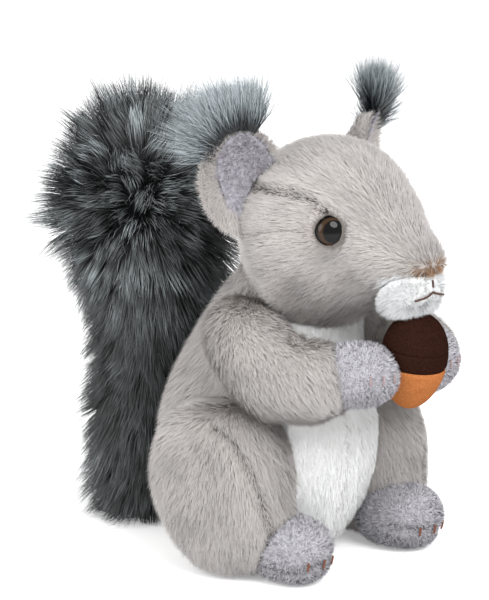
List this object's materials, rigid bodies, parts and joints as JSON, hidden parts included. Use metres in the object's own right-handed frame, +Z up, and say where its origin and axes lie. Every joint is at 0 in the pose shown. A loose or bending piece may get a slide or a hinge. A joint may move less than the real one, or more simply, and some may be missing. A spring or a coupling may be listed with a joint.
{
  "type": "plush squirrel",
  "caption": "Seated plush squirrel with an upright plume tail, tufted ears and a white belly, holding a felt acorn in its paws.",
  "frame": {"origin": "middle of the flat seat under the torso, on the surface the toy sits on", "axes": "+Z up through the torso; the face looks along -Y, the tail is at +Y, and the toy's right side is at -X"},
  "size_m": [0.127, 0.1984, 0.2015],
  "materials": {
    "taupe_plush": "short pile",
    "white_plush": "short pile",
    "lilac_plush": "curly short pile",
    "long_pile": "long pile with pale tips",
    "brown_felt": "felt",
    "tan_felt": "felt",
    "thread": "embroidery thread",
    "eye_plastic": "polished",
    "washer_plastic": "moulded"
  },
  "bodies": {
    "root": {"torso": "taupe_plush", "head": "taupe_plush", "belly_panel": "white_plush", "muzzle": "white_plush", "tail": "long_pile", "acorn_cap": "brown_felt", "acorn_nut": "tan_felt", "philtrum_stitch": "thread", "mouth_stitch": "thread", "eye_right": "eye_plastic", "eye_washer_right": "washer_plastic", "ear_back_right": "taupe_plush", "ear_lining_right": "lilac_plush", "ear_tuft_right": "long_pile", "arm_right": "taupe_plush", "hand_right": "lilac_plush", "leg_right": "taupe_plush", "foot_right": "lilac_plush", "hand_right_toe_stitch_1": "thread", "hand_right_toe_stitch_2": "thread", "hand_right_toe_stitch_3": "thread", "foot_right_toe_stitch_1": "thread", "foot_right_toe_stitch_2": "thread", "foot_right_toe_stitch_3": "thread", "eye_left": "eye_plastic", "eye_washer_left": "washer_plastic", "ear_back_left": "taupe_plush", "ear_lining_left": "lilac_plush", "ear_tuft_left": "long_pile", "arm_left": "taupe_plush", "hand_left": "lilac_plush", "leg_left": "taupe_plush", "foot_left": "lilac_plush", "hand_left_toe_stitch_1": "thread", "hand_left_toe_stitch_2": "thread", "hand_left_toe_stitch_3": "thread", "foot_left_toe_stitch_1": "thread", "foot_left_toe_stitch_2": "thread", "foot_left_toe_stitch_3": "thread"}
  },
  "joints": []
}
